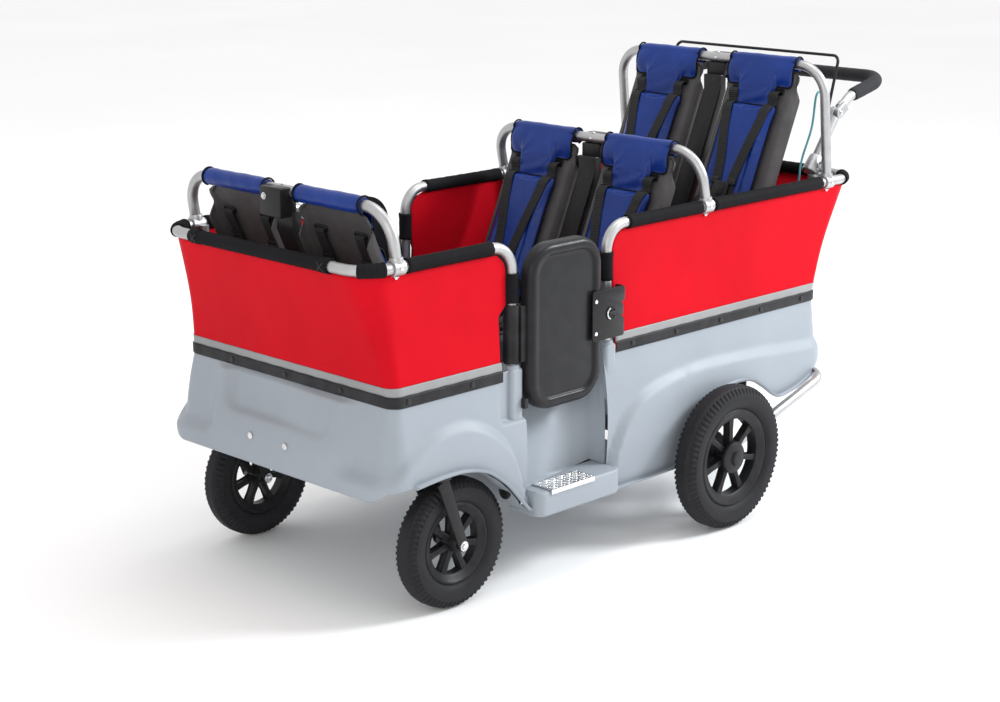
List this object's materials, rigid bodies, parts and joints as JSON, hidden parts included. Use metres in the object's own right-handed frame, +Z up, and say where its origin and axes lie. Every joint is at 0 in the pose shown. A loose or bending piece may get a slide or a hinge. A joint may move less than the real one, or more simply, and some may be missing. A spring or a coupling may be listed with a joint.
{
  "type": "multi seat daycare stroller",
  "caption": "Multi-seat daycare stroller: moulded tub on castors and rear wheels, tube rails with cloth sides, side doors, padded harness seats and a push handle with brake bail.",
  "frame": {"origin": "on the ground in the middle of the overall box", "axes": "+Z up, the front faces -Y, +X is the stroller's left side"},
  "size_m": [0.83, 1.6782, 0.9667],
  "materials": {
    "tub_shell": "light blue-grey moulded shell, satin",
    "tube_aluminium": "satin bent tube",
    "black_steel": "black powder coat",
    "bright_steel": "zinc plated",
    "red_cloth": "coated red cloth with black sleeves",
    "black_trim": "black binding strip",
    "black_plastic": "fine-grained black plastic",
    "grey_plastic": "grey seat shell",
    "blue_cloth": "glossy coated blue cloth with black piping",
    "webbing": "black ribbed webbing",
    "tyre_rubber": "black tread",
    "grip_foam": "dark closed-cell foam",
    "cable_jacket": "smooth cable jacket",
    "tread_aluminium": "chequered plate"
  },
  "bodies": {
    "chassis": {"body_tub": "tub_shell", "front_crossbar": "black_steel", "front_rail": "tube_aluminium", "rear_rail": "tube_aluminium", "front_panel": "red_cloth", "rear_panel": "red_cloth", "front_binding": "black_trim", "rear_binding": "black_trim", "front_hoop": "tube_aluminium", "middle_hoop": "tube_aluminium", "rear_hoop": "tube_aluminium", "rear_frame": "tube_aluminium", "rear_axle": "bright_steel", "brake_cable": "cable_jacket", "front_seat_carrier": "black_steel", "middle_seat_carrier": "black_steel", "rear_seat_carrier": "black_steel", "step_plate_left": "tread_aluminium", "brake_unit_left": "black_plastic", "front_seat_shell_left": "grey_plastic", "front_seat_pad_left": "blue_cloth", "front_harness_left": "webbing", "middle_seat_shell_left": "grey_plastic", "middle_seat_pad_left": "blue_cloth", "middle_harness_left": "webbing", "rear_seat_shell_left": "grey_plastic", "rear_seat_pad_left": "blue_cloth", "rear_harness_left": "webbing", "step_plate_right": "tread_aluminium", "brake_unit_right": "black_plastic", "front_seat_shell_right": "grey_plastic", "front_seat_pad_right": "blue_cloth", "front_harness_right": "webbing", "middle_seat_shell_right": "grey_plastic", "middle_seat_pad_right": "blue_cloth", "middle_harness_right": "webbing", "rear_seat_shell_right": "grey_plastic", "rear_seat_pad_right": "blue_cloth", "rear_harness_right": "webbing"},
    "castor_left": {"castor_fork_left": "black_steel"},
    "front_wheel_left": {"front_rim_left": "black_plastic", "front_tyre_left": "tyre_rubber"},
    "rear_wheel_left": {"rear_rim_left": "black_plastic", "rear_tyre_left": "tyre_rubber"},
    "side_door_left": {"door_left": "black_plastic", "door_hinge_left": "black_plastic", "latch_plate_left": "black_steel"},
    "door_latch_left": {"latch_knob_left": "black_plastic"},
    "castor_right": {"castor_fork_right": "black_steel"},
    "front_wheel_right": {"front_rim_right": "black_plastic", "front_tyre_right": "tyre_rubber"},
    "rear_wheel_right": {"rear_rim_right": "black_plastic", "rear_tyre_right": "tyre_rubber"},
    "side_door_right": {"door_right": "black_plastic", "door_hinge_right": "black_plastic", "latch_plate_right": "black_steel"},
    "door_latch_right": {"latch_knob_right": "black_plastic"},
    "handle": {"handle_tube": "tube_aluminium", "foam_grip": "grip_foam"},
    "bail": {"brake_bail": "black_steel"}
  },
  "joints": [
    {"name": "castor_swivel_left", "type": "hinge", "parent": "chassis", "child": "castor_left", "pos_m": [0.298, -0.6697, 0.279], "axis": [0, 0, 1], "continuous": true},
    {"name": "front_wheel_spin_left", "type": "hinge", "parent": "castor_left", "child": "front_wheel_left", "pos_m": [0.298, -0.6158, 0.13], "axis": [1, 0, 0], "continuous": true},
    {"name": "rear_wheel_spin_left", "type": "hinge", "parent": "chassis", "child": "rear_wheel_left", "pos_m": [0.384, 0.1263, 0.157], "axis": [1, 0, 0], "continuous": true},
    {"name": "door_swing_left", "type": "hinge", "parent": "chassis", "child": "side_door_left", "pos_m": [0.3, -0.4507, 0.515], "axis": [0, 0, -1], "range_deg": [0, 98]},
    {"name": "latch_turn_left", "type": "hinge", "parent": "side_door_left", "child": "door_latch_left", "pos_m": [0.34, -0.2037, 0.52], "axis": [1, 0, 0], "range_deg": [0, 90]},
    {"name": "castor_swivel_right", "type": "hinge", "parent": "chassis", "child": "castor_right", "pos_m": [-0.298, -0.6697, 0.279], "axis": [0, 0, 1], "continuous": true},
    {"name": "front_wheel_spin_right", "type": "hinge", "parent": "castor_right", "child": "front_wheel_right", "pos_m": [-0.298, -0.6158, 0.13], "axis": [1, 0, 0], "continuous": true},
    {"name": "rear_wheel_spin_right", "type": "hinge", "parent": "chassis", "child": "rear_wheel_right", "pos_m": [-0.384, 0.1263, 0.157], "axis": [1, 0, 0], "continuous": true},
    {"name": "door_swing_right", "type": "hinge", "parent": "chassis", "child": "side_door_right", "pos_m": [-0.3, -0.4507, 0.515], "axis": [0, 0, 1], "range_deg": [0, 98]},
    {"name": "latch_turn_right", "type": "hinge", "parent": "side_door_right", "child": "door_latch_right", "pos_m": [-0.34, -0.2037, 0.52], "axis": [1, 0, 0], "range_deg": [0, 90]},
    {"name": "handle_tilt", "type": "hinge", "parent": "chassis", "child": "handle", "pos_m": [0, 0.6412, 0.836], "axis": [1, 0, 0], "range_deg": [-15, 35]},
    {"name": "brake_bail_pull", "type": "hinge", "parent": "handle", "child": "bail", "pos_m": [0, 0.6412, 0.836], "axis": [-1, 0, 0], "range_deg": [0, 28], "stiffness_Nm_per_rad": 1.5, "springref_deg": -22.92}
  ]
}
